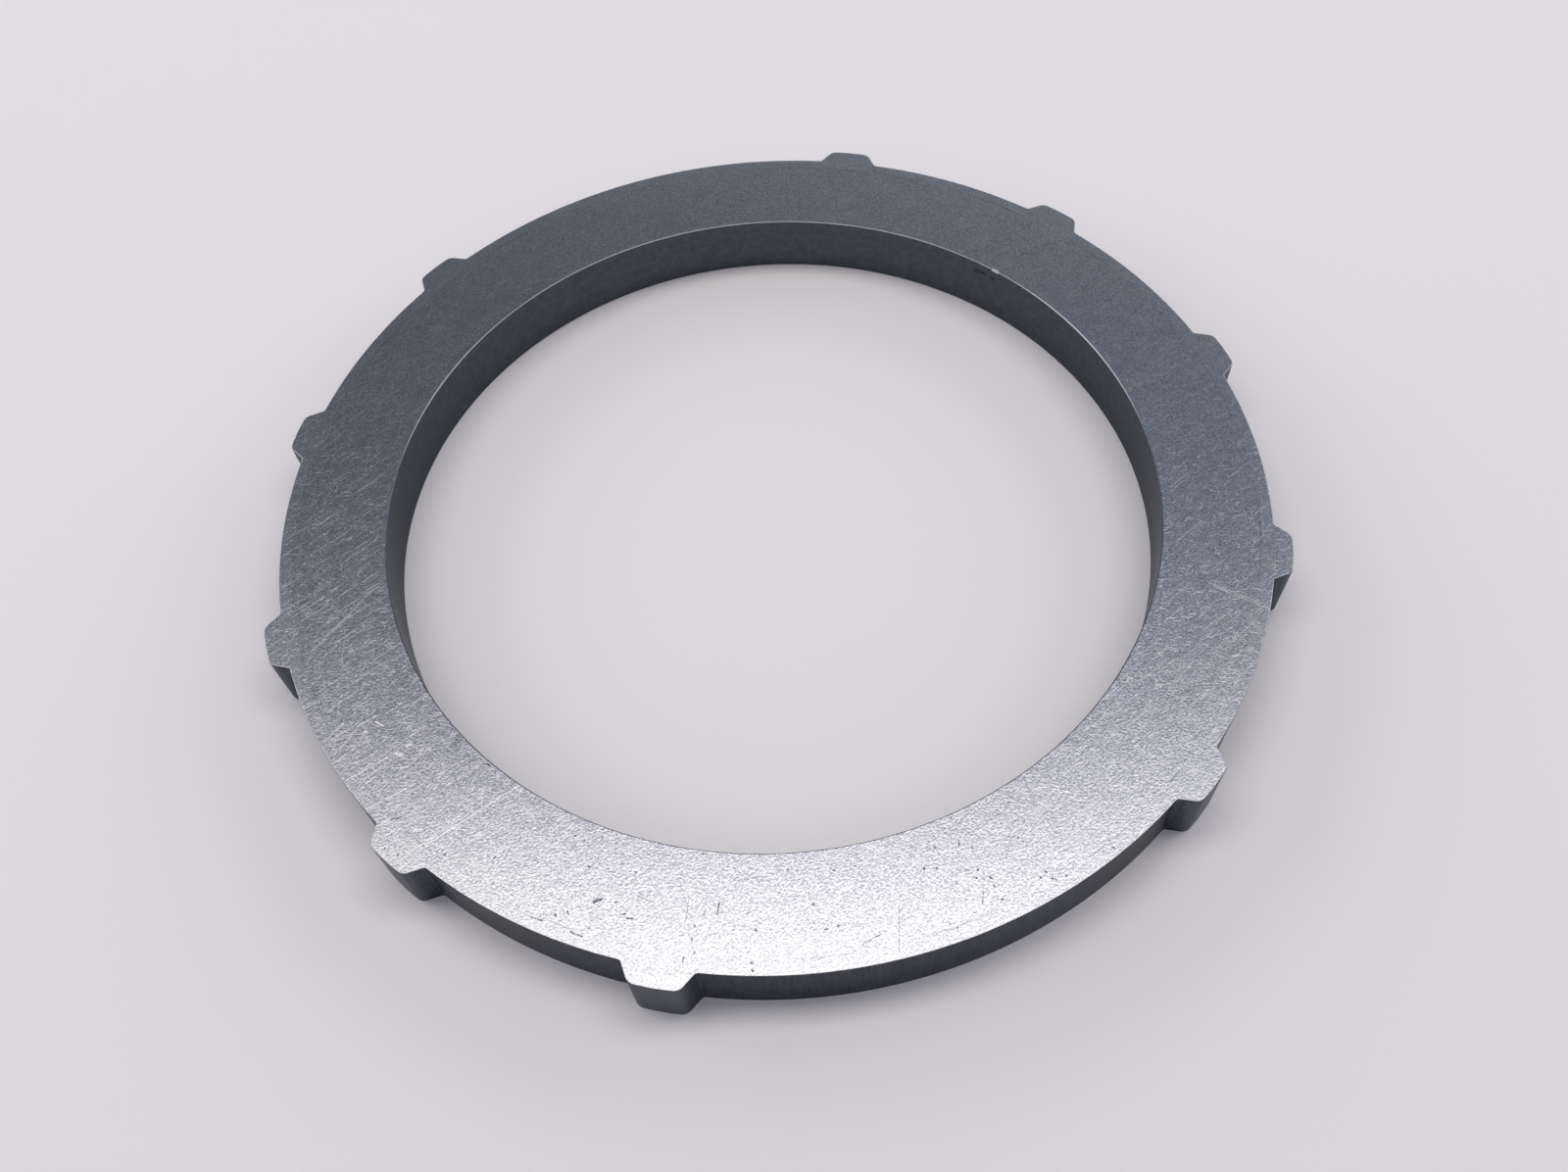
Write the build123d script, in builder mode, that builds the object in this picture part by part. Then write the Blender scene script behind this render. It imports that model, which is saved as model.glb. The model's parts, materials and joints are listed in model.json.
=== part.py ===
from build123d import *
import os
from math import isclose, radians, tan

# Pressure plate of a wet multi-plate clutch: the thick steel end plate that takes the clamping
# load of the pack. It is one flat ring, blanked from plate and ground on both faces, with short
# drive lugs on its rim that slide in the slots of the clutch drum.
#
# Frame: the origin is the centre of the lower face, +Z runs up the clutch axis and out of the
# upper face, and +X runs through the middle of a lug. Units are millimetres and degrees.

os.makedirs("parts", exist_ok=True)

# ---- Driving dimensions: the ring ----
thickness = 10.0          # between the two ground faces
bore_diameter = 115.4     # the clutch hub passes through it
rim_diameter = 147.0      # the plain rim, at the foot of the lugs
tip_diameter = 152.2      # over the tips of the lugs

# ---- Driving dimensions: the drive lugs ----
lug_steps = 12            # equal steps round the rim
bare_steps = (3, 9)       # two opposite steps that carry no lug
lug_width = 8.0           # across the flanks, at half the height of the lug
flank_lean = 30.0         # each flank's angle to the centre line of its lug
tip_corner_radius = 1.2   # convex corner between flank and tip
root_corner_radius = 0.5  # concave corner between flank and rim
lug_foot = 2.0            # the lug's profile starts this far inside the rim
lug_stock = 1.0           # and is drawn this far past its tip, before the tip is rounded off

# ---- Driving dimensions: the broken edges ----
rim_roll = 0.15           # rolled edge that blanking leaves round the upper outline
rim_bevel = 0.2           # deburring bevel round the lower outline
bore_bevel = 0.15         # bevel at both mouths of the bore

# ---- Worked out from the driving dimensions ----
bore_radius = bore_diameter / 2
rim_radius = rim_diameter / 2
tip_radius = tip_diameter / 2
half_height_radius = (rim_radius + tip_radius) / 2
step_angle = 360 / lug_steps


def flank_offset(distance_out):
    """Distance from the lug's centre line to its flank, this far out from the plate's centre."""
    return lug_width / 2 + (half_height_radius - distance_out) * tan(radians(flank_lean))


# ---- Profile of one lug, lying along +X: leaning flanks, and a tip concentric with the rim ----
foot_x = rim_radius - lug_foot
stock_x = tip_radius + lug_stock

with BuildSketch(Plane.XY) as lug_profile:
    with BuildLine():
        Polyline(
            (foot_x, -flank_offset(foot_x)),
            (stock_x, -flank_offset(stock_x)),
            (stock_x, flank_offset(stock_x)),
            (foot_x, flank_offset(foot_x)),
            close=True,
        )
    make_face()
    Circle(tip_radius, mode=Mode.INTERSECT)

# ---- Pressure plate ----
with BuildPart() as pressure_plate:
    # The outline: a disc with the lug repeated at every step but the two bare ones.
    with BuildSketch(Plane.XY) as outline:
        Circle(rim_radius)
        for step in range(lug_steps):
            if step not in bare_steps:
                add(lug_profile.sketch, rotation=step * step_angle)

        # Counted from the centre, the tip corners lie furthest out and the root corners are next.
        root_corners, tip_corners = outline.vertices().group_by(SortBy.DISTANCE)[-2:]
        fillet(tip_corners, tip_corner_radius)
        fillet(root_corners, root_corner_radius)

        Circle(bore_radius, mode=Mode.SUBTRACT)
    extrude(amount=thickness)

    # The punch rolls the upper edge over, all the way round the lugs and the rim between them.
    upper_face = pressure_plate.faces().sort_by(Axis.Z)[-1]
    fillet(upper_face.outer_wire().edges(), rim_roll)

    # The lower outline and both mouths of the bore are only deburred.
    lower_face = pressure_plate.faces().sort_by(Axis.Z)[0]
    chamfer(lower_face.outer_wire().edges(), rim_bevel)

    circles = pressure_plate.edges().filter_by(GeomType.CIRCLE)
    bore_mouths = circles.filter_by(lambda edge: isclose(edge.radius, bore_radius))
    chamfer(bore_mouths, bore_bevel)

pressure_plate.part.label = "pressure_plate"
export_step(pressure_plate.part, "parts/pressure_plate.step")
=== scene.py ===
# %% [markdown]
# # A clutch pressure plate in ground steel
#
# A pressure plate is the thick steel plate at the end of a wet clutch pack. It is one flat ring, and
# short lugs on its rim slide in the slots of the clutch drum. The solid model holds its size and its
# mounts. This lesson dresses that solid: it models the plate again with smooth curves and softly
# broken edges, finishes each surface the way the workshop left it, and lights it like a small
# product on a studio table. Every length is in metres, and `mm` turns millimetres into metres.

# %% Load the solid model
import json
import math

import bmesh
import bpy
from mathutils import Matrix, Vector


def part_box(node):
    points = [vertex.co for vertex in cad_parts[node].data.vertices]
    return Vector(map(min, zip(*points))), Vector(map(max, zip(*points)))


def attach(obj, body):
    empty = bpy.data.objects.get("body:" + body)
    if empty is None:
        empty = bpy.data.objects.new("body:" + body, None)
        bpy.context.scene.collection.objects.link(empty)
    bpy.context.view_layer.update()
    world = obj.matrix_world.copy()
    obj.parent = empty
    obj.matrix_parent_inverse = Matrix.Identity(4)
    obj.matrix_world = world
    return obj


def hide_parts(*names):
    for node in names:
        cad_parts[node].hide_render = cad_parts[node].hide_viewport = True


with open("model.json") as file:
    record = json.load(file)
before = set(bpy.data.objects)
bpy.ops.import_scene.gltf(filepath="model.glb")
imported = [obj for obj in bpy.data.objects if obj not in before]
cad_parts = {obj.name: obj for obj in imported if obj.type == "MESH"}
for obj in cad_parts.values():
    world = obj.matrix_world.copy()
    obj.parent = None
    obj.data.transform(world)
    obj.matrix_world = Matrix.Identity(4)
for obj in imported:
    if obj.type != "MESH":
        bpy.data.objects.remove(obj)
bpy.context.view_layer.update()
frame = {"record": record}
mm = 0.001

# %% [markdown]
# The sizes come from the solid, so the two can't drift apart. The plate stands on z = 0 with its
# axis on z. Its box ends at lug tips along x and at the plain rim along y, because the two steps of
# the rim that face along y carry no lug. The bore's radius is a mount in the record.

# %% Read the driving sizes
node_low, node_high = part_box("pressure_plate")
thickness = node_high.z
tip_radius = node_high.x
rim_radius = node_high.y
mounts = {mount["name"]: mount for mount in frame["record"]["mounts"]}
bore_radius = mounts["hub_bore"]["dims"]["r_mm"] * mm
print("bore, rim and tip radius, mm:", [round(r / mm, 2) for r in (bore_radius, rim_radius, tip_radius)])

# %% [markdown]
# ## The ring
#
# A turned ring could be spun from its section, or made as a tube and filled. Here a circle the size
# of the bore is extruded outwards to the rim, and that flat ring is then extruded up to its
# thickness. The circle has 32 edges for each of the 12 steps round the rim, so a vertex stands
# wherever a lug starts or ends, and each edge is under a millimetre long, which looks round.

# %% Make the plain ring
lug_steps = 12
bare_steps = (3, 9)
step_angle = math.tau / lug_steps
edges_per_step = 32
edges_per_lug = 8


def clear_selection():
    """Operators act on all that is selected, and the solid model is selected when it is loaded."""
    if bpy.context.object and bpy.context.object.mode != "OBJECT":
        bpy.ops.object.mode_set(mode="OBJECT")
    bpy.ops.object.select_all(action="DESELECT")


def tidy_normals():
    """Merges doubled vertices and turns every face outwards, in edit mode."""
    bpy.ops.mesh.select_all(action="SELECT")
    bpy.ops.mesh.remove_doubles(threshold=0.001 * mm)
    bpy.ops.mesh.normals_make_consistent(inside=False)


clear_selection()
bpy.ops.mesh.primitive_circle_add(vertices=lug_steps * edges_per_step, radius=bore_radius)
plate = bpy.context.object
plate.name = "plate"
bpy.ops.object.mode_set(mode="EDIT")
bpy.ops.mesh.extrude_edges_move()
widen = rim_radius / bore_radius
bpy.ops.transform.resize(value=(widen, widen, 1), center_override=(0, 0, 0))
bpy.ops.mesh.select_all(action="SELECT")
bpy.ops.mesh.extrude_region_move(TRANSFORM_OT_translate={"value": (0, 0, thickness)})
tidy_normals()
bpy.ops.object.mode_set(mode="OBJECT")
print("plain ring:", len(plate.data.polygons), "faces")

# %% [markdown]
# ## The drive lugs
#
# What repeats is modelled once. The ring is cut down to one step, from -15 to +15 degrees about the
# x axis, and a copy of it is kept bare. On the other copy the eight middle faces of the rim are
# extruded and scaled out to the tip circle, then narrowed, which leans both flanks by 30 degrees.
# Last, the four upright corners are bevelled: a round one at each side of the tip, and a small
# hollow one where each flank meets the rim.

# %% Helpers that select by place
def face_angle(face):
    """Where a face lies round the plate, in radians from the x axis."""
    centre = face.calc_center_median()
    return math.atan2(centre.y, centre.x)


def select_faces(piece, wanted):
    """In edit mode, selects only the faces that pass the test, and returns how many there are."""
    bpy.ops.mesh.select_mode(type="FACE")
    bpy.ops.mesh.select_all(action="DESELECT")
    mesh = bmesh.from_edit_mesh(piece.data)
    chosen = [face for face in mesh.faces if wanted(face)]
    for face in chosen:
        face.select_set(True)
    bmesh.update_edit_mesh(piece.data)
    return len(chosen)


def select_edges(piece, wanted):
    """In edit mode, selects only the edges that pass the test, and returns how many there are."""
    bpy.ops.mesh.select_mode(type="EDGE")
    bpy.ops.mesh.select_all(action="DESELECT")
    mesh = bmesh.from_edit_mesh(piece.data)
    chosen = [edge for edge in mesh.edges if wanted(edge)]
    for edge in chosen:
        edge.select_set(True)
    bmesh.update_edit_mesh(piece.data)
    return len(chosen)


def edge_radius(edge):
    """Distance of an edge's middle from the plate's axis."""
    middle = (edge.verts[0].co + edge.verts[1].co) / 2
    return math.hypot(middle.x, middle.y)


# %% Cut out one step and keep a bare copy
clear_selection()
plate.select_set(True)
bpy.context.view_layer.objects.active = plate
bpy.ops.object.mode_set(mode="EDIT")
select_faces(plate, lambda face: abs(face_angle(face)) > step_angle / 2)
bpy.ops.mesh.delete(type="FACE")
bpy.ops.object.mode_set(mode="OBJECT")
bare_step = plate.copy()
bare_step.data = plate.data.copy()
bpy.context.scene.collection.objects.link(bare_step)
print("one step:", len(plate.data.polygons), "faces")

# %% Draw out one lug
lug_width = 8.0 * mm
flank_lean = math.radians(30)
lug_height = tip_radius - rim_radius
tip_half_width = lug_width / 2 - lug_height / 2 * math.tan(flank_lean)
foot_angle = step_angle * edges_per_lug / edges_per_step / 2
drawn_half_width = tip_radius * math.sin(foot_angle)
narrow = tip_half_width / drawn_half_width
draw_out = tip_radius / rim_radius

bpy.ops.object.mode_set(mode="EDIT")


def is_lug_foot(face):
    """The faces of the rim that the lug grows from."""
    centre = face.calc_center_median()
    on_rim = math.hypot(centre.x, centre.y) > (bore_radius + rim_radius) / 2 and abs(face.normal.z) < 0.5
    return on_rim and abs(face_angle(face)) < foot_angle


print("faces at the lug's foot:", select_faces(plate, is_lug_foot))
bpy.ops.mesh.extrude_region_move()
bpy.ops.transform.resize(value=(draw_out, draw_out, 1), center_override=(0, 0, 0))
bpy.ops.transform.resize(value=(1, narrow, 1), center_override=(0, 0, 0))

# %% Round the corners of the lug
tip_corner_radius = 1.2 * mm
root_corner_radius = 0.5 * mm
tip_turn = math.pi / 2 - flank_lean
root_turn = tip_turn + foot_angle


def is_upright(edge):
    """An edge that runs straight up the wall of the plate."""
    return abs(edge.verts[0].co.z - edge.verts[1].co.z) > thickness / 2


def is_tip_corner(edge):
    """The upright edge between a flank and the tip."""
    across = abs(edge.verts[0].co.y)
    return is_upright(edge) and edge_radius(edge) > tip_radius - 0.3 * mm and across > tip_half_width * 0.95


def is_root_corner(edge):
    """The upright edge between a flank and the rim."""
    angle = abs(math.atan2(edge.verts[0].co.y, edge.verts[0].co.x))
    return is_upright(edge) and abs(edge_radius(edge) - rim_radius) < 0.01 * mm and abs(angle - foot_angle) < 0.001


print("tip corners:", select_edges(plate, is_tip_corner))
bpy.ops.mesh.bevel(offset=tip_corner_radius * math.tan(tip_turn / 2), segments=8)
print("root corners:", select_edges(plate, is_root_corner))
bpy.ops.mesh.bevel(offset=root_corner_radius * math.tan(root_turn / 2), segments=5)

# %% [markdown]
# The bevels leave slivers in the two flat faces. A later bevel would slide along their edges and
# fold over, so each flat face of a step is dissolved into a single face. It has many corners, which
# does no harm on a surface that is truly flat.

# %% Clean the flat faces
for piece in (plate, bare_step):
    clear_selection()
    piece.select_set(True)
    bpy.context.view_layer.objects.active = piece
    bpy.ops.object.mode_set(mode="EDIT")
    for side in (1, -1):
        select_faces(piece, lambda face: face.normal.z * side > 0.9)
        bpy.ops.mesh.dissolve_faces()
    bpy.ops.object.mode_set(mode="OBJECT")
    print(piece.name, "now has", len(piece.data.polygons), "faces")

# %% [markdown]
# ## Twelve steps back into a plate
#
# Ten turned copies of the lugged step and two of the bare one are joined, and the doubled vertices
# along the cuts are merged. The two bare places are part of the real plate: they stand where the
# drum has no slot.

# %% Join the steps into one plate
lugged_step = plate
copies = []
for step in range(lug_steps):
    source = bare_step if step in bare_steps else lugged_step
    turned = source.copy()
    turned.data = source.data.copy()
    turned.data.transform(Matrix.Rotation(step * step_angle, 4, "Z"))
    bpy.context.scene.collection.objects.link(turned)
    copies.append(turned)
for spare in (lugged_step, bare_step):
    bpy.data.objects.remove(spare, do_unlink=True)

clear_selection()
for turned in copies:
    turned.select_set(True)
plate = copies[0]
bpy.context.view_layer.objects.active = plate
bpy.ops.object.join()
plate.name = "plate"
bpy.ops.object.mode_set(mode="EDIT")
tidy_normals()
bpy.ops.object.mode_set(mode="OBJECT")
print("plate with", lug_steps - len(bare_steps), "lugs:", len(plate.data.polygons), "faces")

# %% [markdown]
# ## Breaking the edges
#
# No edge of a real plate is sharp. Stamping rolls the upper outline over, the lower one is only
# deburred, and the bore gets a light chamfer at both mouths. A bevel on the chosen edges makes each
# of them. The edges are found by height and by having one face up or down and one face outwards.

# %% Break the outline and the bore mouths
rim_roll = 0.15 * mm
rim_break = 0.2 * mm
bore_break = 0.15 * mm


def is_mouth(height, of_bore):
    """A test for the edges that bound the plate's flat face at one height, at its bore or outside."""
    def wanted(edge):
        at_height = all(abs(vertex.co.z - height) < 0.01 * mm for vertex in edge.verts)
        if not at_height or len(edge.link_faces) != 2:
            return False
        tilt = [abs(face.normal.z) for face in edge.link_faces]
        at_bore = edge_radius(edge) < (bore_radius + rim_radius) / 2
        return min(tilt) < 0.1 and max(tilt) > 0.9 and at_bore == of_bore
    return wanted


clear_selection()
plate.select_set(True)
bpy.context.view_layer.objects.active = plate
bpy.ops.object.mode_set(mode="EDIT")
print("upper outline:", select_edges(plate, is_mouth(thickness, False)), "edges")
bpy.ops.mesh.bevel(offset=rim_roll, segments=4, profile=0.5)
print("lower outline:", select_edges(plate, is_mouth(0, False)), "edges")
bpy.ops.mesh.bevel(offset=rim_break, segments=1)
for height in (0, thickness):
    print("bore mouth:", select_edges(plate, is_mouth(height, True)), "edges")
    bpy.ops.mesh.bevel(offset=bore_break, segments=1)
tidy_normals()
bpy.ops.object.mode_set(mode="OBJECT")

# %% [markdown]
# Smooth shading would let the soft edges darken the flat faces next to them, because a vertex
# averages the faces round it. Weighted normals give the large flat faces the say, which is the
# usual finish for bevelled machine parts. Faces that meet at more than 30 degrees stay crisp.

# %% Shade the plate
clear_selection()
plate.select_set(True)
bpy.context.view_layer.objects.active = plate
bpy.ops.object.shade_smooth_by_angle(angle=math.radians(30))
bpy.ops.object.modifier_add(type="WEIGHTED_NORMAL")
plate.modifiers[-1].keep_sharp = True
plate.modifiers[-1].weight = 100
bpy.ops.object.modifier_apply(modifier=plate.modifiers[-1].name)
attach(plate, "root")
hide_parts("pressure_plate")
print("the plate replaces the solid:", len(plate.data.vertices), "vertices")

# %% [markdown]
# ## Describing a finish
#
# A Cycles material is a small graph, so one helper adds any node, sets it and links it. Colours are
# written as the hex values a paint program shows, and one function turns them to the linear light
# that the renderer adds up. All patterns are laid out in millimetres of the plate itself.

# %% Helpers for materials
def linear(hex_colour):
    """An sRGB hex colour as the linear RGBA that shader sockets expect."""
    channels = [int(hex_colour[i:i + 2], 16) / 255 for i in (1, 3, 5)]
    curve = [c / 12.92 if c <= 0.04045 else ((c + 0.055) / 1.055) ** 2.4 for c in channels]
    return (*curve, 1.0)


def add_node(tree, kind, settings=None, inputs=None):
    """Adds a node. Settings are its own choices; an input is given a value or another node's output."""
    made = tree.nodes.new(kind)
    for name, value in (settings or {}).items():
        setattr(made, name, value)
    for socket, value in (inputs or {}).items():
        if isinstance(value, bpy.types.NodeSocket):
            tree.links.new(value, made.inputs[socket])
        else:
            made.inputs[socket].default_value = value
    return made


def new_material(name):
    """An empty material, its shader and its output already joined, ready for a pattern."""
    material = bpy.data.materials.new(name)
    material.use_nodes = True
    tree = material.node_tree
    tree.nodes.clear()
    shader = add_node(tree, "ShaderNodeBsdfPrincipled")
    add_node(tree, "ShaderNodeOutputMaterial", inputs={"Surface": shader.outputs["BSDF"]})
    return material, tree, shader


# %% [markdown]
# ## Ground steel
#
# The flat faces are carbon steel, ground flat and then handled. Iron reflects a little over half of
# the light and is nearly neutral, a touch blue. Grinding leaves a fine grain that looks mottled
# rather than brushed, so the reflection of the lamp spreads over several degrees. Roughness near 0.3
# is typical for that. The grain is about 0.3 mm across, which is coarser than the grit, because that
# is the size at which the eye sees it. A mottle of 1.4 mm and a cloud of 7 mm lie under it.

# %% Start the ground finish
ground, tree, shader = new_material("ground_steel")
place = add_node(tree, "ShaderNodeTexCoord")
in_mm = add_node(tree, "ShaderNodeMapping", {"vector_type": "POINT"},
                 {"Vector": place.outputs["Object"], "Scale": (1 / mm, 1 / mm, 1 / mm)})
grain_size = 0.32
grain = add_node(tree, "ShaderNodeTexNoise", inputs={
    "Vector": in_mm.outputs["Vector"], "Scale": 1 / grain_size, "Detail": 1.0, "Roughness": 0.6})
mottle_size = 2.4
mottle = add_node(tree, "ShaderNodeTexNoise", inputs={
    "Vector": in_mm.outputs["Vector"], "Scale": 1 / mottle_size, "Detail": 3.0, "Roughness": 0.65})
cloud_size = 7.0
cloud = add_node(tree, "ShaderNodeTexNoise", inputs={
    "Vector": in_mm.outputs["Vector"], "Scale": 1 / cloud_size, "Detail": 2.0, "Roughness": 0.5})

# %% [markdown]
# Handling adds fine hairlines. They are noise that is stretched 60 times along one direction and
# cut off high, so that only its ridges are left. Three sets lie at different angles, and the
# strongest runs at 20 degrees to the x axis, as the long scratches do.

# %% Fine hairlines
hairline_sets = ((20.0, 0.14, 60, 0.66), (75.0, 0.14, 60, 0.71), (128.0, 0.14, 60, 0.74),
                 (35.0, 0.20, 8, 0.66), (100.0, 0.18, 8, 0.67), (160.0, 0.18, 10, 0.68))
hairlines = None
for angle, width, stretch, cut in hairline_sets:
    along = add_node(tree, "ShaderNodeMapping", {"vector_type": "TEXTURE"}, {
        "Vector": in_mm.outputs["Vector"], "Rotation": (0, 0, math.radians(angle)),
        "Scale": (width * stretch, width, width * stretch)})
    streak = add_node(tree, "ShaderNodeTexNoise", inputs={
        "Vector": along.outputs["Vector"], "Scale": 1.0, "Detail": 1.0})
    ridge = add_node(tree, "ShaderNodeMapRange", {"interpolation_type": "SMOOTHSTEP"}, {
        "Value": streak.outputs["Fac"], "From Min": cut, "From Max": cut + 0.08})
    if hairlines is None:
        hairlines = ridge
    else:
        hairlines = add_node(tree, "ShaderNodeMath", {"operation": "MAXIMUM"}, {
            0: hairlines.outputs[0], 1: ridge.outputs[0]})
most_handled = Vector((-0.35, -0.94, 0))
toward_handled = add_node(tree, "ShaderNodeVectorMath", {"operation": "DOT_PRODUCT"}, {
    0: in_mm.outputs["Vector"], 1: most_handled})
handled = add_node(tree, "ShaderNodeMapRange", inputs={
    "Value": toward_handled.outputs["Value"], "From Min": -45.0, "From Max": 55.0, "To Min": 0.08, "To Max": 0.55})
fine_cuts = add_node(tree, "ShaderNodeMath", {"operation": "MULTIPLY"}, {
    0: hairlines.outputs[0], 1: handled.outputs["Result"]})
print("hairline sets:", len(hairline_sets))

# %% [markdown]
# Some marks are large enough to be seen one by one. Each is a straight groove between two points,
# given in millimetres on the upper face. The nodes find the distance from the point being shaded to
# the nearest point of the groove, and the groove is where that distance is small. The distance is
# measured in space, so a mark on the upper face doesn't come out again underneath.

# %% A helper for single marks
def single_marks(at, marks, height=thickness / mm):
    """A mask that is 1 along each mark. A mark is its start, its end and half its width, in mm."""
    mask = None
    for start, end, half_width in marks:
        run = Vector((end[0] - start[0], end[1] - start[1], 0))
        from_start = add_node(tree, "ShaderNodeVectorMath", {"operation": "SUBTRACT"}, {
            0: at.outputs["Vector"], 1: (*start, height)})
        share = add_node(tree, "ShaderNodeVectorMath", {"operation": "DOT_PRODUCT"}, {
            0: from_start.outputs["Vector"], 1: run / run.length_squared})
        held = add_node(tree, "ShaderNodeClamp", inputs={"Value": share.outputs["Value"]})
        nearest = add_node(tree, "ShaderNodeVectorMath", {"operation": "SCALE"}, {
            0: run, "Scale": held.outputs["Result"]})
        away = add_node(tree, "ShaderNodeVectorMath", {"operation": "DISTANCE"}, {
            0: from_start.outputs["Vector"], 1: nearest.outputs["Vector"]})
        mark = add_node(tree, "ShaderNodeMapRange", inputs={
            "Value": away.outputs["Value"], "From Min": half_width * 0.3, "From Max": half_width,
            "To Min": 1.0, "To Max": 0.0})
        if mask is None:
            mask = mark
        else:
            mask = add_node(tree, "ShaderNodeMath", {"operation": "MAXIMUM"}, {
                0: mask.outputs[0], 1: mark.outputs[0]})
    return mask


# %% [markdown]
# The long scratches are painted brighter than the face: partly as fresh metal, partly as a painted
# glint of the light that their groove walls catch. They are about 0.15 mm wide. Most of them cross
# one side of the ring from lower left to upper right.

# %% Long bright scratches
bright_scratches = single_marks(in_mm, (
    ((-47.4, -34.0), (-60.3, -37.8), 0.055),
    ((-60.3, -37.8), (-64.3, -39.9), 0.04),
    ((-66.9, -30.1), (-61.2, -29.0), 0.06),
    ((-65.9, -17.4), (-63.2, -16.8), 0.08),
    ((-63.3, -17.7), (-62.5, -18.6), 0.13),
    ((-62.5, -25.4), (-60.4, -26.0), 0.06),
    ((-62.3, -37.9), (-58.8, -37.0), 0.06),
    ((50.2, 28.9), (49.7, 29.7), 0.30),
))
faint_scratches = single_marks(in_mm, (
    ((-59.6, -37.3), (-53.5, -35.2), 0.06),
    ((-68.8, -25.0), (-62.8, -23.6), 0.09),
    ((-61.6, -23.4), (-60.9, -23.9), 0.40),
    ((-60.0, -22.9), (-59.4, -22.7), 0.30),
    ((-65.0, -18.8), (-64.8, -18.7), 0.40),
    ((-70.6, -18.3), (-67.6, -16.2), 0.08),
    ((-68.7, -20.0), (-66.9, -18.6), 0.08),
    ((-61.5, -35.3), (-61.0, -35.2), 0.15),
    ((-60.1, 3.9), (-68.8, -2.3), 0.05),
    ((-61.3, 2.7), (-70.0, -3.3), 0.05),
    ((-59.4, -6.0), (-58.4, -6.0), 0.08),
    ((-65.0, -10.3), (-64.6, -10.3), 0.10),
    ((52.6, -38.8), (58.1, -45.1), 0.06),
    ((52.2, -37.9), (57.5, -43.8), 0.05),
))
faint_share = add_node(tree, "ShaderNodeMath", {"operation": "MULTIPLY"}, {0: faint_scratches.outputs[0], 1: 0.7})
scratches = add_node(tree, "ShaderNodeMath", {"operation": "MAXIMUM"}, {
    0: bright_scratches.outputs[0], 1: faint_share.outputs[0]})

# %% [markdown]
# The dark marks are nicks and a few hairlines that have filled with dirt. The first two run along
# the rim circle, where a lug begins, and the pair after them is a double dent near the rim. The
# grain pushes their outline about by a tenth of a millimetre or so, since no nick is a neat dash.

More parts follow.
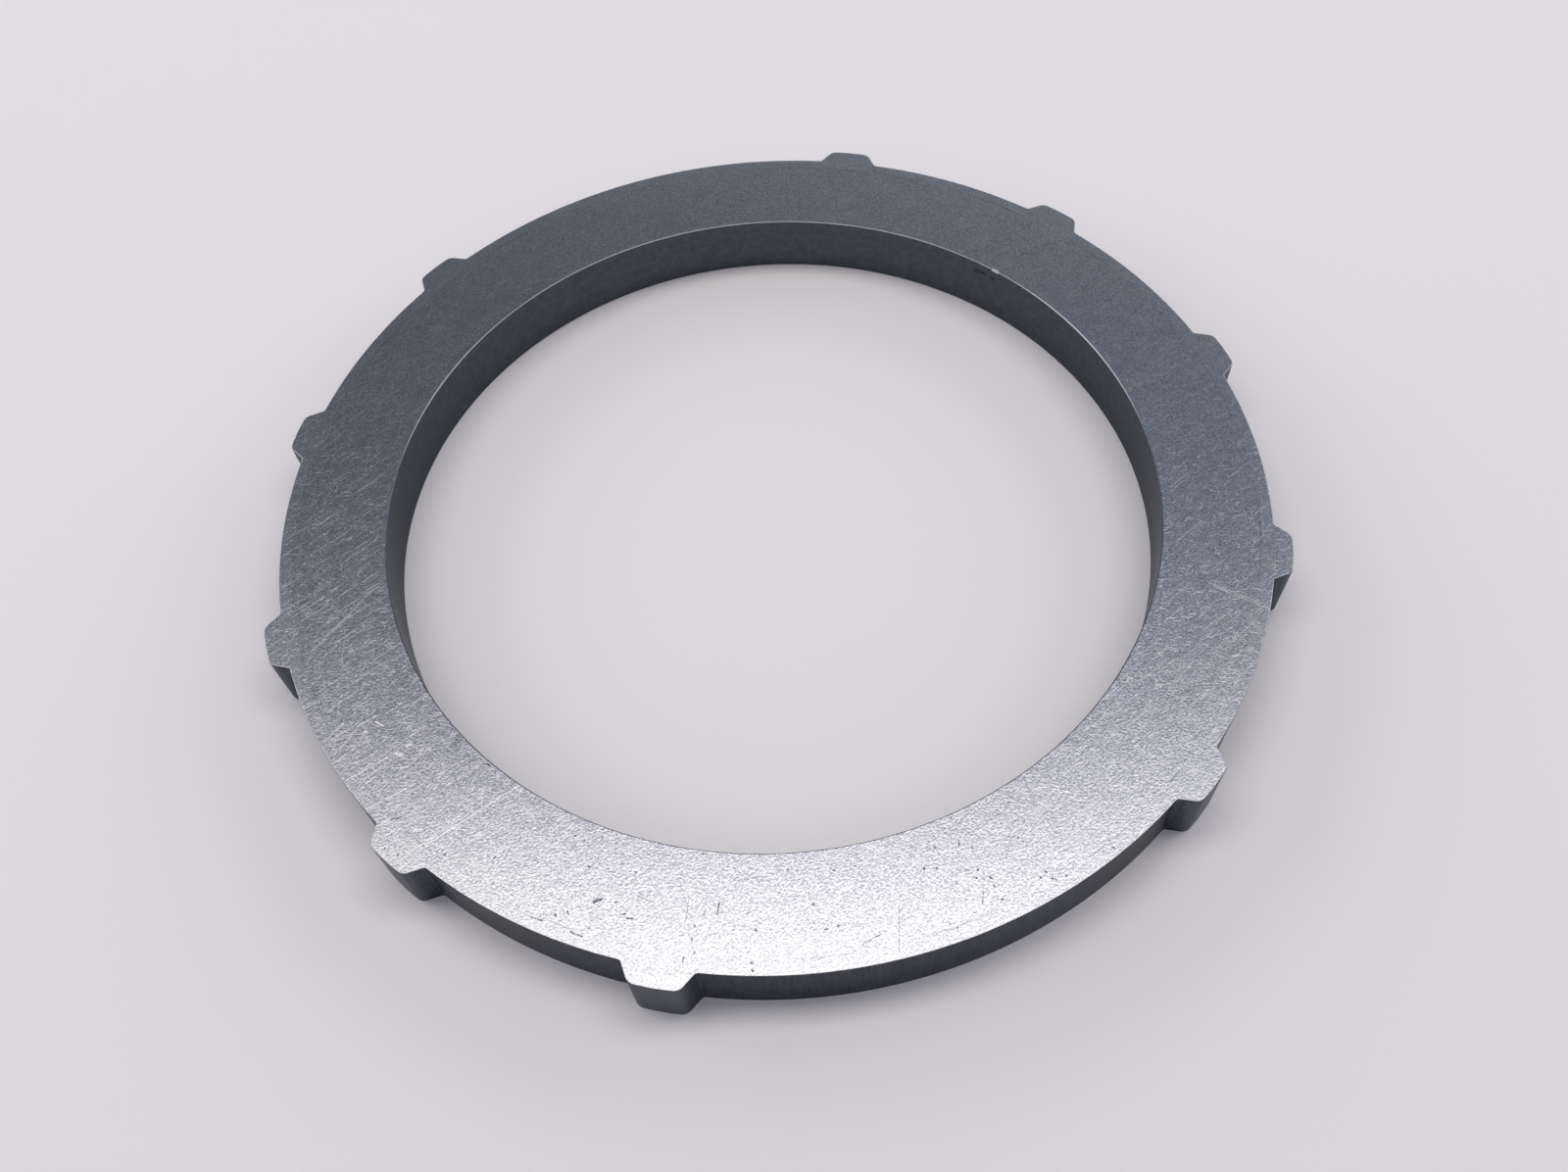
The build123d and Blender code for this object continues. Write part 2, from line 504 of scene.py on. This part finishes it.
# %% Dark nicks
nick_wander = 0.35
frayed = add_node(tree, "ShaderNodeVectorMath", {"operation": "MULTIPLY_ADD"}, {
    0: grain.outputs["Color"], 1: (nick_wander, nick_wander, 0), 2: in_mm.outputs["Vector"]})
nicks = single_marks(frayed, (
    ((63.6, -37.2), (62.4, -39.3), 0.09),
    ((-73.6, 4.5), (-73.7, 2.6), 0.09),
    ((-41.7, -52.6), (-40.7, -52.5), 0.22),
    ((-26.9, -58.2), (-27.6, -59.6), 0.11),
    ((-46.7, -52.5), (-46.6, -52.7), 0.16),
    ((-45.1, -52.7), (-45.1, -52.8), 0.14),
    ((-39.1, -53.6), (-39.0, -53.6), 0.13),
    ((-43.2, -55.7), (-43.1, -55.7), 0.13),
    ((-41.1, -47.8), (-41.0, -47.9), 0.13),
    ((-35.7, -50.6), (-35.6, -50.7), 0.13),
    ((-31.5, -61.5), (-31.5, -61.6), 0.15),
    ((-31.7, -63.1), (-31.7, -63.2), 0.13),
    ((-23.8, -63.1), (-23.6, -63.2), 0.16),
    ((-16.0, -62.5), (-15.9, -62.5), 0.18),
    ((-17.5, -57.1), (-17.4, -57.2), 0.14),
    ((-49.6, -51.8), (-48.3, -52.8), 0.08),
    ((-45.5, -55.3), (-45.0, -55.8), 0.08),
    ((-44.7, -56.0), (-44.2, -56.4), 0.10),
    ((-39.0, -55.4), (-38.3, -55.6), 0.09),
    ((-38.4, -56.1), (-37.7, -56.4), 0.10),
    ((-28.8, -58.6), (-29.3, -59.1), 0.08),
    ((-30.7, -59.9), (-30.7, -60.1), 0.12),
    ((-24.2, -60.8), (-23.6, -60.8), 0.08),
    ((-33.2, -63.4), (-33.4, -63.8), 0.12),
    ((-15.7, -66.1), (-15.4, -66.1), 0.12),
    ((-14.1, -66.2), (-14.0, -66.2), 0.14),
    ((-30.3, -56.4), (-31.8, -59.5), 0.03),
    ((-36.3, -53.8), (-34.7, -55.3), 0.03),
    ((-6.0, -66.4), (-8.2, -71.9), 0.03),
    ((-12.2, -69.4), (-9.3, -69.0), 0.04),
    ((4.5, -68.3), (3.7, -69.8), 0.07),
    ((-25.6, -66.8), (-25.5, -66.9), 0.17),
    ((-25.8, -67.7), (-25.7, -67.9), 0.15),
    ((-1.3, -62.9), (-1.3, -63.1), 0.14),
    ((0.2, -63.5), (0.2, -63.7), 0.14),
    ((1.1, -60.8), (1.1, -60.9), 0.16),
    ((4.6, -57.9), (4.6, -58.0), 0.14),
    ((4.3, -61.1), (4.0, -61.8), 0.10),
    ((5.5, -62.4), (5.5, -62.6), 0.13),
    ((6.0, -66.9), (6.1, -67.1), 0.14),
    ((6.0, -68.1), (6.1, -68.3), 0.13),
    ((6.1, -70.1), (6.3, -70.1), 0.13),
    ((-0.4, -71.4), (-0.4, -71.5), 0.13),
    ((11.8, -69.1), (11.9, -69.2), 0.16),
    ((12.7, -68.6), (12.8, -68.8), 0.15),
    ((13.1, -69.8), (13.2, -69.9), 0.13),
    ((13.5, -70.0), (13.6, -70.2), 0.13),
    ((14.8, -70.1), (15.0, -70.1), 0.12),
    ((22.0, -68.7), (22.1, -68.8), 0.14),
    ((52.2, -48.7), (52.1, -48.6), 0.18),
    ((37.3, -60.3), (37.2, -60.2), 0.17),
    ((36.8, -56.3), (36.7, -56.2), 0.13),
    ((40.5, -53.5), (40.4, -53.4), 0.13),
    ((-63.8, -32.4), (-62.5, -32.6), 0.12),
    ((-58.2, -39.7), (-57.9, -39.6), 0.15),
    ((-52.2, -42.4), (-52.0, -42.4), 0.15),
    ((-50.1, -29.0), (-49.7, -29.5), 0.15),
))
spread = add_node(tree, "ShaderNodeVectorMath", {"operation": "MULTIPLY_ADD"}, {
    0: mottle.outputs["Color"], 1: (4.0, 4.0, 0), 2: in_mm.outputs["Vector"]})
smudges = single_marks(spread, (
    ((-57.4, 4.9), (-57.1, 4.3), 0.9),
    ((-56.4, -10.0), (-56.0, -10.8), 1.3),
    ((-51.4, -22.6), (-52.0, -23.4), 0.9),
    ((-68.9, -7.3), (-68.8, -8.7), 0.6),
    ((-66.5, 9.0), (-65.9, 9.6), 0.9),
    ))
print("nodes so far:", len(tree.nodes))

# %% [markdown]
# Small dark pits are scattered over the rest of the face. A Voronoi texture gives one point to each
# cell of 2.2 mm, and only what lies within a fraction of a millimetre of a point is dark. Most
# points lie above or below the face, so only some show. A slow noise moves the limit, and the grain
# pushes the pattern about a little, so no pit is a neat dot.

# %% Pits
pit_spacing = 1.6
pit_wander = 0.25
ragged = add_node(tree, "ShaderNodeVectorMath", {"operation": "MULTIPLY_ADD"}, {
    0: grain.outputs["Color"], 1: (pit_wander, pit_wander, 0), 2: in_mm.outputs["Vector"]})
pit_cells = add_node(tree, "ShaderNodeTexVoronoi", inputs={
    "Vector": ragged.outputs["Vector"], "Scale": 1 / pit_spacing, "Randomness": 1.0})
pit_limit = add_node(tree, "ShaderNodeMapRange", inputs={
    "Value": cloud.outputs["Fac"], "From Min": 0.35, "From Max": 0.70, "To Min": 0.0, "To Max": 0.12})
pit_depth = add_node(tree, "ShaderNodeMath", {"operation": "SUBTRACT"}, {
    0: pit_limit.outputs["Result"], 1: pit_cells.outputs["Distance"]})
pits = add_node(tree, "ShaderNodeMapRange", inputs={
    "Value": pit_depth.outputs[0], "From Min": 0.0, "From Max": 0.05})
dark = add_node(tree, "ShaderNodeMath", {"operation": "MAXIMUM"}, {
    0: pits.outputs["Result"], 1: nicks.outputs[0]})
soft_dark = add_node(tree, "ShaderNodeMath", {"operation": "MULTIPLY"}, {0: smudges.outputs[0], 1: 0.3})
stain = add_node(tree, "ShaderNodeMath", {"operation": "MAXIMUM"}, {0: soft_dark.outputs[0], 1: dark.outputs[0]})

# %% [markdown]
# Grinding stopped about 2 mm short of the rim. The band outside it, and the tops of the lugs, are a
# little smoother and duller, and a faint dark line marks the border. The distance from the axis
# tells the two zones apart, and some noise keeps the line from looking drawn.

# %% The unground band
ground_radius = 71.5
on_face = add_node(tree, "ShaderNodeVectorMath", {"operation": "MULTIPLY"}, {
    0: in_mm.outputs["Vector"], 1: (1, 1, 0)})
from_axis = add_node(tree, "ShaderNodeVectorMath", {"operation": "LENGTH"}, {0: on_face.outputs["Vector"]})
wavering = add_node(tree, "ShaderNodeMath", {"operation": "MULTIPLY_ADD"}, {
    0: mottle.outputs["Fac"], 1: 0.4, 2: from_axis.outputs["Value"]})
off_border = add_node(tree, "ShaderNodeMath", {"operation": "SUBTRACT"}, {
    0: wavering.outputs[0], 1: ground_radius + 0.2})
band = add_node(tree, "ShaderNodeMapRange", inputs={
    "Value": off_border.outputs[0], "From Min": -0.1, "From Max": 0.1})
border_gap = add_node(tree, "ShaderNodeMath", {"operation": "ABSOLUTE"}, {0: off_border.outputs[0]})
border_line = add_node(tree, "ShaderNodeMapRange", inputs={
    "Value": border_gap.outputs[0], "From Min": 0.05, "From Max": 0.16, "To Min": 1.0, "To Max": 0.0})
border_shows = add_node(tree, "ShaderNodeMapRange", inputs={
    "Value": cloud.outputs["Fac"], "From Min": 0.45, "From Max": 0.7, "To Min": 0.0, "To Max": 0.7})
border = add_node(tree, "ShaderNodeMath", {"operation": "MULTIPLY"}, {
    0: border_line.outputs["Result"], 1: border_shows.outputs["Result"]})

# %% Colour of the ground finish
speckle = add_node(tree, "ShaderNodeMath", {"operation": "MULTIPLY_ADD"}, {
    0: mottle.outputs["Fac"], 1: 0.1, 2: grain.outputs["Fac"]})
tone = add_node(tree, "ShaderNodeMapRange", inputs={
    "Value": speckle.outputs[0], "From Min": 0.35, "From Max": 0.75})
ground_tone = add_node(tree, "ShaderNodeMix", {"data_type": "RGBA"}, {
    0: tone.outputs["Result"], 6: linear("#9ea2a7"), 7: linear("#cdcfd2")})
band_share = add_node(tree, "ShaderNodeMath", {"operation": "MULTIPLY"}, {0: band.outputs["Result"], 1: 0.2})
skin_tone = add_node(tree, "ShaderNodeMix", {"data_type": "RGBA"}, {
    0: band_share.outputs[0], 6: ground_tone.outputs[2], 7: linear("#b6b9c0")})
lined_tone = add_node(tree, "ShaderNodeMix", {"data_type": "RGBA"}, {
    0: border.outputs[0], 6: skin_tone.outputs[2], 7: linear("#7d8087")})
# Scratches and hairlines are painted near white: partly fresh metal, partly a painted glint of light.
cuts_with_painted_glint = add_node(tree, "ShaderNodeMath", {"operation": "MAXIMUM"}, {
    0: fine_cuts.outputs[0], 1: scratches.outputs[0]})
cut_tone_with_painted_glint = add_node(tree, "ShaderNodeMix", {"data_type": "RGBA"}, {
    0: cuts_with_painted_glint.outputs[0], 6: lined_tone.outputs[2], 7: linear("#f4f5f7")})
marked_tone = add_node(tree, "ShaderNodeMix", {"data_type": "RGBA"}, {
    0: stain.outputs[0], 6: cut_tone_with_painted_glint.outputs[2], 7: linear("#64676d")})
tree.links.new(marked_tone.outputs[2], shader.inputs["Base Color"])
shader.inputs["Metallic"].default_value = 1.0

# %% Roughness and relief of the ground finish
groove_share = add_node(tree, "ShaderNodeMapRange", inputs={
    "Value": toward_handled.outputs["Value"], "From Min": -45.0, "From Max": 55.0,
    "To Min": 0.3, "To Max": 1.0})
fine_grooves = add_node(tree, "ShaderNodeMath", {"operation": "MULTIPLY"}, {
    0: hairlines.outputs[0], 1: groove_share.outputs["Result"]})
grooves = add_node(tree, "ShaderNodeMath", {"operation": "MAXIMUM"}, {
    0: scratches.outputs[0], 1: fine_grooves.outputs[0]})
plain_rough = add_node(tree, "ShaderNodeMapRange", inputs={
    "Value": mottle.outputs["Fac"], "From Min": 0.3, "From Max": 0.7, "To Min": 0.28, "To Max": 0.295})
band_rough = add_node(tree, "ShaderNodeMix", inputs={
    0: band_share.outputs[0], 2: plain_rough.outputs["Result"], 3: 0.34})
grooved_rough = add_node(tree, "ShaderNodeMix", inputs={
    0: grooves.outputs[0], 2: band_rough.outputs[0], 3: 0.38})
tree.links.new(grooved_rough.outputs[0], shader.inputs["Roughness"])

swell = add_node(tree, "ShaderNodeMath", {"operation": "MULTIPLY_ADD"}, {
    0: mottle.outputs["Fac"], 1: 1.1, 2: grain.outputs["Fac"]})
grooved = add_node(tree, "ShaderNodeMath", {"operation": "MULTIPLY_ADD"}, {
    0: grooves.outputs[0], 1: -0.25, 2: swell.outputs[0]})
relief = add_node(tree, "ShaderNodeMath", {"operation": "SUBTRACT"}, {
    0: grooved.outputs[0], 1: dark.outputs[0]})
grain_depth = 0.020 * mm
bump = add_node(tree, "ShaderNodeBump", inputs={
    "Height": relief.outputs[0], "Distance": grain_depth, "Strength": 1.0})
tree.links.new(bump.outputs["Normal"], shader.inputs["Normal"])
print("ground steel nodes:", len(tree.nodes))

# %% [markdown]
# ## Sheared steel
#
# The outside wall was blanked by a press and the bore was turned in a hurry. Neither is ground, so
# they keep a dark, slightly oxidised skin that is much rougher. The press drags fine lines straight
# down the wall. Noise that is squeezed along x and y but hardly changes along z draws them on every
# wall, whichever way it faces.

# %% The wall finish
wall, tree, shader = new_material("sheared_steel")
place = add_node(tree, "ShaderNodeTexCoord")
drag_width = 0.35
drag = add_node(tree, "ShaderNodeMapping", {"vector_type": "POINT"}, {
    "Vector": place.outputs["Object"], "Scale": (1 / mm, 1 / mm, 0.06 / mm)})
drag_lines = add_node(tree, "ShaderNodeTexNoise", inputs={
    "Vector": drag.outputs["Vector"], "Scale": 1 / drag_width, "Detail": 2.0, "Roughness": 0.6})
skin_size = 1.2
in_mm = add_node(tree, "ShaderNodeMapping", {"vector_type": "POINT"}, {
    "Vector": place.outputs["Object"], "Scale": (1 / mm, 1 / mm, 1 / mm)})
skin = add_node(tree, "ShaderNodeTexNoise", inputs={
    "Vector": in_mm.outputs["Vector"], "Scale": 1 / skin_size, "Detail": 4.0, "Roughness": 0.6})
mixed = add_node(tree, "ShaderNodeMath", {"operation": "ADD"}, {
    0: drag_lines.outputs["Fac"], 1: skin.outputs["Fac"]})
tone = add_node(tree, "ShaderNodeMapRange", inputs={
    "Value": mixed.outputs[0], "From Min": 0.75, "From Max": 1.25})
# The outer wall is painted darker than the bore: partly its blanked skin, partly painted shade for the shadowed table
# at its foot, which the wall mirrors.
outer_tone_with_painted_shade = add_node(tree, "ShaderNodeMix", {"data_type": "RGBA"}, {
    0: tone.outputs["Result"], 6: linear("#32373c"), 7: linear("#545b62")})
on_plan = add_node(tree, "ShaderNodeVectorMath", {"operation": "MULTIPLY"}, {
    0: in_mm.outputs["Vector"], 1: (1, 1, 0)})
from_axis = add_node(tree, "ShaderNodeVectorMath", {"operation": "LENGTH"}, {0: on_plan.outputs["Vector"]})
# The lug tips are made lighter than the rest of the outer wall.
lighter_toward_tips = add_node(tree, "ShaderNodeMapRange", inputs={
    "Value": from_axis.outputs["Value"], "From Min": 74.4, "From Max": 75.6, "To Min": 0.0, "To Max": 0.35})
tip_tone = add_node(tree, "ShaderNodeMix", {"data_type": "RGBA"}, {
    0: lighter_toward_tips.outputs["Result"], 6: outer_tone_with_painted_shade.outputs[2], 7: linear("#7d848a")})
in_bore = add_node(tree, "ShaderNodeMapRange", inputs={
    "Value": from_axis.outputs["Value"], "From Min": 58.2, "From Max": 58.4, "To Min": 1.0, "To Max": 0.0})
turned_tone = add_node(tree, "ShaderNodeMix", {"data_type": "RGBA"}, {
    0: skin.outputs["Fac"], 6: linear("#3a3f45"), 7: linear("#5e656c")})
metal_tone = add_node(tree, "ShaderNodeMix", {"data_type": "RGBA"}, {
    0: in_bore.outputs["Result"], 6: tip_tone.outputs[2], 7: turned_tone.outputs[2]})

# %% The bore's edge, with a painted highlight
# A painted highlight: the upper lip of the bore wall is painted near white on the half that faces the camera. One
# chip in the bore's edge takes the same colour.
parts = add_node(tree, "ShaderNodeSeparateXYZ", inputs={"Vector": in_mm.outputs["Vector"]})
at_mouth = add_node(tree, "ShaderNodeMapRange", inputs={
    "Value": parts.outputs["Z"], "From Min": thickness / mm - 0.14, "From Max": thickness / mm - 0.08})
toward_back = add_node(tree, "ShaderNodeVectorMath", {"operation": "DOT_PRODUCT"}, {
    0: in_mm.outputs["Vector"], 1: (0.3, 0.95, 0)})
far_half = add_node(tree, "ShaderNodeMapRange", inputs={
    "Value": toward_back.outputs["Value"], "From Min": 8.0, "From Max": 50.0})
mouth_edge = add_node(tree, "ShaderNodeMath", {"operation": "MULTIPLY"}, {
    0: at_mouth.outputs["Result"], 1: in_bore.outputs["Result"]})
painted_edge_highlight = add_node(tree, "ShaderNodeMath", {"operation": "MULTIPLY"}, {
    0: mouth_edge.outputs[0], 1: far_half.outputs["Result"]})
chip = single_marks(in_mm, (((50.1, 28.8), (49.6, 29.6), 0.40),))
chip_and_painted_highlight = add_node(tree, "ShaderNodeMath", {"operation": "MAXIMUM"}, {
    0: painted_edge_highlight.outputs[0], 1: chip.outputs[0]})
edge_tone = add_node(tree, "ShaderNodeMix", {"data_type": "RGBA"}, {
    0: chip_and_painted_highlight.outputs[0], 6: metal_tone.outputs[2], 7: linear("#eceef2")})
frayed = add_node(tree, "ShaderNodeVectorMath", {"operation": "MULTIPLY_ADD"}, {
    0: skin.outputs["Color"], 1: (1.5, 1.5, 1.5), 2: in_mm.outputs["Vector"]})
stains = single_marks(frayed, (
    ((50.6, 30.2), (50.4, 30.5), 0.6),
    ((49.5, 31.9), (49.2, 32.3), 0.5),
    ((49.0, 33.0), (48.8, 33.3), 0.7),
    ((52.6, 26.8), (52.5, 27.1), 0.4),
    ((55.6, 22.2), (55.5, 22.5), 0.5),
), height=thickness / mm - 1.1)
stain_share = add_node(tree, "ShaderNodeMath", {"operation": "MULTIPLY"}, {0: stains.outputs[0], 1: 0.7})
stained_tone = add_node(tree, "ShaderNodeMix", {"data_type": "RGBA"}, {
    0: stain_share.outputs[0], 6: edge_tone.outputs[2], 7: linear("#1c2023")})
tree.links.new(stained_tone.outputs[2], shader.inputs["Base Color"])
shader.inputs["Specular Tint"].default_value = linear("#d4d5d6")
shader.inputs["Metallic"].default_value = 1.0
wall_rough = add_node(tree, "ShaderNodeMapRange", inputs={
    "Value": skin.outputs["Fac"], "From Min": 0.3, "From Max": 0.7, "To Min": 0.285, "To Max": 0.34})
tree.links.new(wall_rough.outputs["Result"], shader.inputs["Roughness"])
drag_depth = 0.008 * mm
bump = add_node(tree, "ShaderNodeBump", inputs={
    "Height": drag_lines.outputs["Fac"], "Distance": drag_depth, "Strength": 1.0})
tree.links.new(bump.outputs["Normal"], shader.inputs["Normal"])
print("sheared steel nodes:", len(tree.nodes))

# %% [markdown]
# The two finishes meet at the broken edges. Those were rubbed bright along with the faces, so every
# face that leans up or down at all takes the ground finish and only upright faces take the wall's.

# %% Give each face its finish
plate.data.materials.clear()
plate.data.materials.append(ground)
plate.data.materials.append(wall)
upright = 0
for face in plate.data.polygons:
    in_bore = math.hypot(face.center.x, face.center.y) < bore_radius + bore_break
    is_wall = abs(face.normal.z) < (0.9 if in_bore else 0.6)
    face.material_index = 1 if is_wall else 0
    upright += is_wall
print("wall faces:", upright, "of", len(plate.data.polygons))

# %% [markdown]
# ## The table, the light and the camera
#
# The plate lies on a plain pale table. A metal shows what it faces, so the light is made for the
# reflection: one wide soft lamp hangs overhead, and its far edge is what draws the bright front and
# the dark back of the ring. The room round it is pale near the horizon and dim higher up, so the back
# of the ring stays dark while the walls still find something pale to mirror.

# %% Table
clear_selection()
table_size = 8.0
bpy.ops.mesh.primitive_plane_add(size=table_size, location=(0, 0, 0))
table = bpy.context.object
table.name = "table"
table_finish, tree, shader = new_material("matte_white_board")
shader.inputs["Base Color"].default_value = linear("#f3f1f4")
shader.inputs["Roughness"].default_value = 0.9
shader.inputs["Specular IOR Level"].default_value = 0.2
table.data.materials.append(table_finish)

# %% Room
away_from_camera = Vector((math.sin(math.radians(15.4)), math.cos(math.radians(15.4)), 0))
room_left_to_right = Vector((away_from_camera.y, -away_from_camera.x, 0))
world = bpy.data.worlds.new("studio_room")
bpy.context.scene.world = world
world.use_nodes = True
tree = world.node_tree
tree.nodes.clear()
look = add_node(tree, "ShaderNodeTexCoord")
split = add_node(tree, "ShaderNodeSeparateXYZ", inputs={"Vector": look.outputs["Generated"]})


def room_side(stops):
    """One side of the room: colours at heights, where 0 is the horizon and 1 is straight up."""
    ramp = add_node(tree, "ShaderNodeValToRGB", inputs={"Fac": split.outputs["Z"]})
    while len(ramp.color_ramp.elements) < len(stops):
        ramp.color_ramp.elements.new(0.5)
    for element, (height, colour) in zip(ramp.color_ramp.elements, stops):
        element.position = height
        element.color = linear(colour)
    return ramp


far_left = room_side(((0.0, "#f1f5f9"), (0.40, "#e9edf2"), (0.52, "#161d24"), (0.68, "#1c242d"), (0.80, "#353e4a"), (0.93, "#3c4aae")))
far_right = room_side(((0.0, "#f1f5f9"), (0.46, "#e9edf2"), (0.60, "#545f6e"), (0.80, "#545f6e"), (0.93, "#3c4aae")))
near_side = room_side(((0.0, "#9c9ba2"), (0.35, "#9c9ba2"), (0.75, "#a5a4ab"), (1.0, "#a5a4ab")))


def turned_to(direction, spread):
    """How far the direction looked in turns to one side of the room, from 0 to 1."""
    facing = add_node(tree, "ShaderNodeVectorMath", {"operation": "DOT_PRODUCT"}, {
        0: look.outputs["Generated"], 1: direction})
    return add_node(tree, "ShaderNodeMapRange", {"interpolation_type": "SMOOTHSTEP"}, {
        "Value": facing.outputs["Value"], "From Min": -spread, "From Max": spread})


rightness = turned_to(room_left_to_right, 0.35)
farness = turned_to(away_from_camera, 0.5)
far_side = add_node(tree, "ShaderNodeMix", {"data_type": "RGBA"}, {
    0: rightness.outputs["Result"], 6: far_left.outputs["Color"], 7: far_right.outputs["Color"]})
room = add_node(tree, "ShaderNodeMix", {"data_type": "RGBA"}, {
    0: farness.outputs["Result"], 6: near_side.outputs["Color"], 7: far_side.outputs[2]})
glow = add_node(tree, "ShaderNodeBackground", inputs={"Color": room.outputs[2], "Strength": 1.0})
add_node(tree, "ShaderNodeOutputWorld", inputs={"Surface": glow.outputs["Background"]})

# %% Camera
camera_data = bpy.data.cameras.new("camera")
camera = bpy.data.objects.new("camera", camera_data)
bpy.context.scene.collection.objects.link(camera)
bpy.context.scene.camera = camera
camera_data.sensor_width = 36.0
camera_data.lens = 31.55
camera_data.clip_start = 0.01
camera_place = Vector((-32.3, -120.1, 175.2)) * mm
look_at = Vector((-2.1, -10.7, 0.0)) * mm
camera_roll = math.radians(-4.81)
aim = (look_at - camera_place).to_track_quat("-Z", "Y").to_matrix().to_4x4()
camera.matrix_world = Matrix.Translation(camera_place) @ aim @ Matrix.Rotation(camera_roll, 4, "Z")
print("camera, mm from the plate:", round((look_at - camera_place).length / mm, 1))

# %% Overhead lamp
lamp_height = 1.2
far_edge = math.radians(72)
near_edge = math.radians(91)
side_edge = math.radians(55)
view_azimuth = math.radians(-15.4)
lamp_turn = math.radians(-2)
reach_far = lamp_height / math.tan(far_edge)
reach_near = -lamp_height / math.tan(near_edge)
reach_side = lamp_height / math.tan(side_edge)
lamp_radiance = 3.5
lamp_data = bpy.data.lights.new("softbox", "AREA")
lamp_data.shape = "RECTANGLE"
lamp_data.color = (1.0, 0.94, 0.81)
lamp_data.size = 2 * reach_side
lamp_data.size_y = reach_far + reach_near
lamp_data.energy = lamp_radiance * math.pi * lamp_data.size * lamp_data.size_y
lamp = bpy.data.objects.new("softbox", lamp_data)
bpy.context.scene.collection.objects.link(lamp)
turn = Matrix.Rotation(view_azimuth + lamp_turn, 4, "Z")
lamp.matrix_world = turn @ Matrix.Translation((0, (reach_far - reach_near) / 2, lamp_height))
print("softbox, m:", round(lamp_data.size, 2), "by", round(lamp_data.size_y, 2), "power", round(lamp_data.energy, 1))

# %% [markdown]
# Three upright soft panels stand low beyond the plate, outside what its face mirrors. Their light
# comes in flat, so the soft shadow falls towards the camera, and it picks out the broken edges. The
# left one is the brightest, which is why the right half of the bore is lighter than the left.

# %% Low panels
def low_panel(name, swing, lift, width, height, radiance):
    """An upright soft panel that faces the plate. Angles are in degrees from straight beyond it."""
    data = bpy.data.lights.new(name, "AREA")
    data.shape = "RECTANGLE"
    data.size = width
    data.size_y = height
    data.energy = radiance * math.pi * width * height
    panel = bpy.data.objects.new(name, data)
    bpy.context.scene.collection.objects.link(panel)
    level = Matrix.Rotation(math.radians(swing), 3, "Z") @ away_from_camera
    stands_at = panel_distance * (level * math.cos(math.radians(lift)) + Vector((0, 0, math.sin(math.radians(lift)))))
    facing_plate = (-stands_at).to_track_quat("-Z", "Y").to_matrix().to_4x4()
    panel.matrix_world = Matrix.Translation(stands_at) @ facing_plate
    return panel


panel_distance = 1.4
panels = [
    low_panel("panel_left", 70, 26, 1.1, 0.6, 1.6),
    low_panel("panel_right", -70, 26, 1.1, 0.6, 1.0),
    low_panel("panel_back", 0, 18, 1.5, 0.4, 0.5),
]
for light in (lamp, *panels):
    light.visible_camera = False
print("low panels:", [round(panel.data.energy, 1) for panel in panels], "W")

# %% [markdown]
# ## The view transform
#
# The colours should reach the picture as they are, so the view transform is Standard.

# %% Finish
bpy.context.scene.view_settings.view_transform = "Standard"
